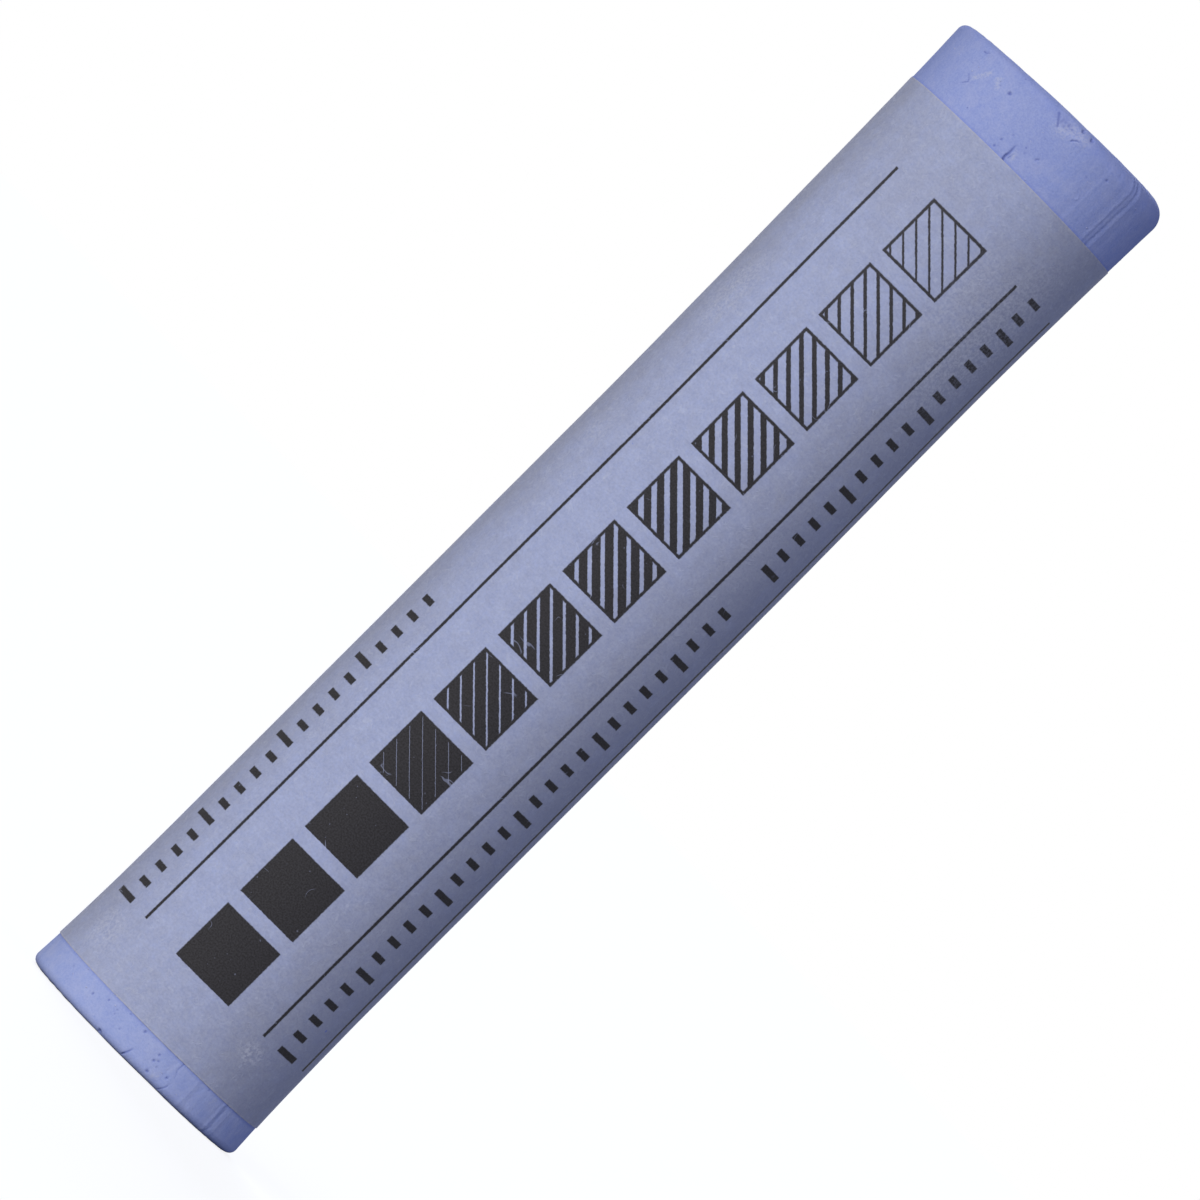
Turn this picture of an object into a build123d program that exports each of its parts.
from build123d import *
import math
import os

# A soft pastel stick: a waisted stick of pressed pigment in a rolled paper wrapper.
# It stands on its squarer end. +Z runs along the stick, from the middle of that end.
# -Y is the printed front of the wrapper and +Y is the back, where the paper laps over itself.
# All lengths are in millimetres and all angles in degrees, counted from +X towards +Y.

# The stick's length, from the standing end to the highest side of the other end
stick_length = 64.0

# Diameters of the bare stick: at its straight waist, and at each end before its rim is rounded
waist_diameter = 12.83
bottom_diameter = 13.45
top_diameter = 13.53

# How far each end's flare reaches towards the waist
bottom_flare_length = 10.5
top_flare_length = 19.0

# The top was cut a little out of square, with its +X side the longer
top_tilt = 1.8

# Rims: the bottom one is even, and the top one has been rubbed rounder on its longer side.
# Below the top one, a short collar takes up the tilt.
bottom_rim_radius = 0.45
top_rim_radius_short_side = 0.5
top_rim_radius_long_side = 1.1
collar_height = 0.6

# A chip that a knock has broken from the top rim, at the front: its place round the stick,
# how far down the side it starts, and how deep it is at the end's height
chip_angle = 272.0
chip_height = 1.3
chip_depth = 0.42

# The wrapper: a strip of thin paper that leaves a short and a longer bare end
bare_bottom = 1.9
bare_top = 4.1
paper_thickness = 0.06
paper_clearance = 0.02

# The lap at the back: where its middle is, its width, its line of glue, the stretch in which
# the paper rises on to the first layer, and how far that ends before the first layer's edge
lap_angle = 90.0
lap_width = 5.0
glue_thickness = 0.02
lap_rise_width = 1.2
lap_edge_gap = 0.3

# How many sections turn the top rim over, and lift the paper on to its first layer
rim_sections = 7
rise_sections = 4


def flare(height_in, length, rise):
    """How far a flare stands out, this far in from its end: an arc tangent to the waist."""
    if height_in >= length or rise == 0:
        return 0.0
    arc_radius = (length**2 + rise**2) / (2 * abs(rise))
    sagitta = arc_radius - math.sqrt(arc_radius**2 - (length - height_in) ** 2)
    return math.copysign(sagitta, rise)


def stick_radius(height):
    """The bare stick's radius, rims apart."""
    waist_radius = waist_diameter / 2
    bottom = flare(height, bottom_flare_length, bottom_diameter / 2 - waist_radius)
    top = flare(stick_length - height, top_flare_length, top_diameter / 2 - waist_radius)
    return waist_radius + bottom + top


def side_line(low, high, out=0.0):
    """The outline of the side from low to high, moved out: an arc, a straight and an arc."""

    def on_side(height):
        return (stick_radius(height) + out, 0, height)

    waist_low = bottom_flare_length
    waist_high = stick_length - top_flare_length
    return [
        ThreePointArc(on_side(low), on_side((low + waist_low) / 2), on_side(waist_low)),
        Line(on_side(waist_low), on_side(waist_high)),
        ThreePointArc(on_side(waist_high), on_side((waist_high + high) / 2), on_side(high)),
    ]


def make_body(high):
    """The turned part of the stick, from its flat end with its even rim up to a height."""
    side = side_line(0.0, high)
    outline = [
        Line((0, 0, 0), side[0] @ 0),
        *side,
        Line(side[-1] @ 1, (0, 0, high)),
        Line((0, 0, high), (0, 0, 0)),
    ]
    half_section = make_face(outline)
    corner = half_section.vertices().sort_by(Axis.Z)[:2].sort_by(Axis.X)[-1]
    return revolve(fillet(corner, bottom_rim_radius), axis=Axis.Z)


def rim_inset(rim_radius, depth):
    """How far a rim of this radius has turned in, at a depth below the face of the end."""
    above = max(0.0, rim_radius - depth)
    return rim_radius - math.sqrt(rim_radius**2 - above**2)


def tilt_rise(distance):
    """How much higher than at the axis the tilted end is, this far out on its longer side."""
    return distance * math.tan(math.radians(top_tilt))


def top_section(height, depth):
    """A section of the top rim, parallel to the tilted end and drawn in unevenly as it turns."""
    inset_short = rim_inset(top_rim_radius_short_side, depth)
    inset_long = rim_inset(top_rim_radius_long_side, depth)
    radius = stick_radius(height) - (inset_short + inset_long) / 2
    middle = (inset_short - inset_long) / 2
    plane = Plane(origin=(middle, 0, height + tilt_rise(middle)))
    return plane.rotated((0, -top_tilt, 0)) * Circle(radius)


def make_top(low, face_height, reach):
    """The top end: a collar that takes up the tilt, then the rim, turning over by a quarter."""
    sections = []
    for step in range(rim_sections):
        turn = math.radians(90) * step / (rim_sections - 1)
        depth = reach * (1 - math.sin(turn))
        sections.append(top_section(face_height - depth, depth))
    foot = Plane.XY.offset(low) * Circle(stick_radius(low))
    return loft([foot, sections[0]]) + loft(sections)


def make_chip():
    """What the chip has lost: all that lies outside a plane leaning in over the rim."""
    lean = math.degrees(math.atan2(chip_depth, chip_height))
    lost = Box(top_diameter, top_diameter, top_diameter, align=(Align.MIN, Align.CENTER, Align.CENTER))
    seat = Pos(0, 0, stick_length) * Rot(0, 0, chip_angle)
    return seat * Pos(stick_radius(stick_length) - chip_depth, 0, 0) * Rot(0, -lean, 0) * lost


def make_pastel_stick():
    """The stick of pigment: the turned body, its tilted top end, and the chip out of its rim."""
    reach = max(top_rim_radius_short_side, top_rim_radius_long_side)
    face_height = stick_length - tilt_rise(top_diameter / 2 - top_rim_radius_long_side)
    collar_foot = face_height - reach - tilt_rise(top_diameter / 2) - collar_height
    return make_body(collar_foot) + make_top(collar_foot, face_height, reach) - make_chip()


def wrapper_profile(angle, lift):
    """The paper's thin section in a plane through the stick's axis, lifted off the stick."""
    low = bare_bottom
    high = stick_length - bare_top
    inner = side_line(low, high, paper_clearance + lift)
    outer = side_line(low, high, paper_clearance + paper_thickness + lift)
    ends = [Line(inner[0] @ 0, outer[0] @ 0), Line(inner[-1] @ 1, outer[-1] @ 1)]
    return Rot(0, 0, angle) * make_face([*inner, *outer, *ends])


def make_paper_wrapper():
    """The paper: a strip rolled round the stick, up on to its own first layer, then the lap."""
    waist_radius = waist_diameter / 2
    lap = math.degrees(lap_width / waist_radius)
    rise = math.degrees(lap_rise_width / waist_radius)
    gap = math.degrees(lap_edge_gap / waist_radius)
    start = lap_angle - lap / 2
    rise_start = start + 360 - gap - rise
    lap_lift = paper_thickness + glue_thickness

    first_layer = revolve(wrapper_profile(start, 0.0), axis=Axis.Z, revolution_arc=rise_start - start)
    climb = []
    for step in range(rise_sections):
        share = step / (rise_sections - 1)
        lift = lap_lift * share**2 * (3 - 2 * share)
        climb.append(wrapper_profile(rise_start + rise * share, lift))
    lap_profile = wrapper_profile(rise_start + rise, lap_lift)
    second_layer = revolve(lap_profile, axis=Axis.Z, revolution_arc=gap + lap)
    return first_layer + loft(climb) + second_layer


os.makedirs("parts", exist_ok=True)
export_step(make_pastel_stick(), "parts/pastel_stick.step")
export_step(make_paper_wrapper(), "parts/paper_wrapper.step")
